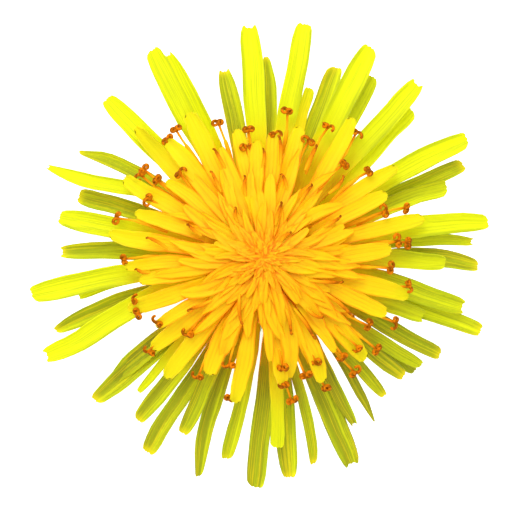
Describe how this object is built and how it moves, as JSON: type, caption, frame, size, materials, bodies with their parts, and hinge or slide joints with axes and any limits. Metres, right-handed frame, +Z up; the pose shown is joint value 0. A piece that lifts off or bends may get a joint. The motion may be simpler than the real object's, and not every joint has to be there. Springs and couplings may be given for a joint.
{
  "type": "dandelion flower head",
  "caption": "Open yellow dandelion flower head with long toothed outer ligules, golden inner ligules, curled stigmas, green bracts and a short cut stalk.",
  "frame": {"origin": "on the surface the head rests on, under the axis of the head", "axes": "+Z up along the stalk and out of the face of the bloom, +X and +Y across it as right and up in the picture"},
  "size_m": [0.0459, 0.0467, 0.0198],
  "materials": {
    "stalk_green": "satin",
    "bract_green": "satin",
    "petal_lemon": "satin",
    "petal_gold": "satin",
    "stigma_orange": "matte"
  },
  "bodies": {
    "root": {"scape": "stalk_green", "involucre": "bract_green", "outer_florets": "petal_lemon", "inner_florets": "petal_gold"}
  },
  "joints": []
}
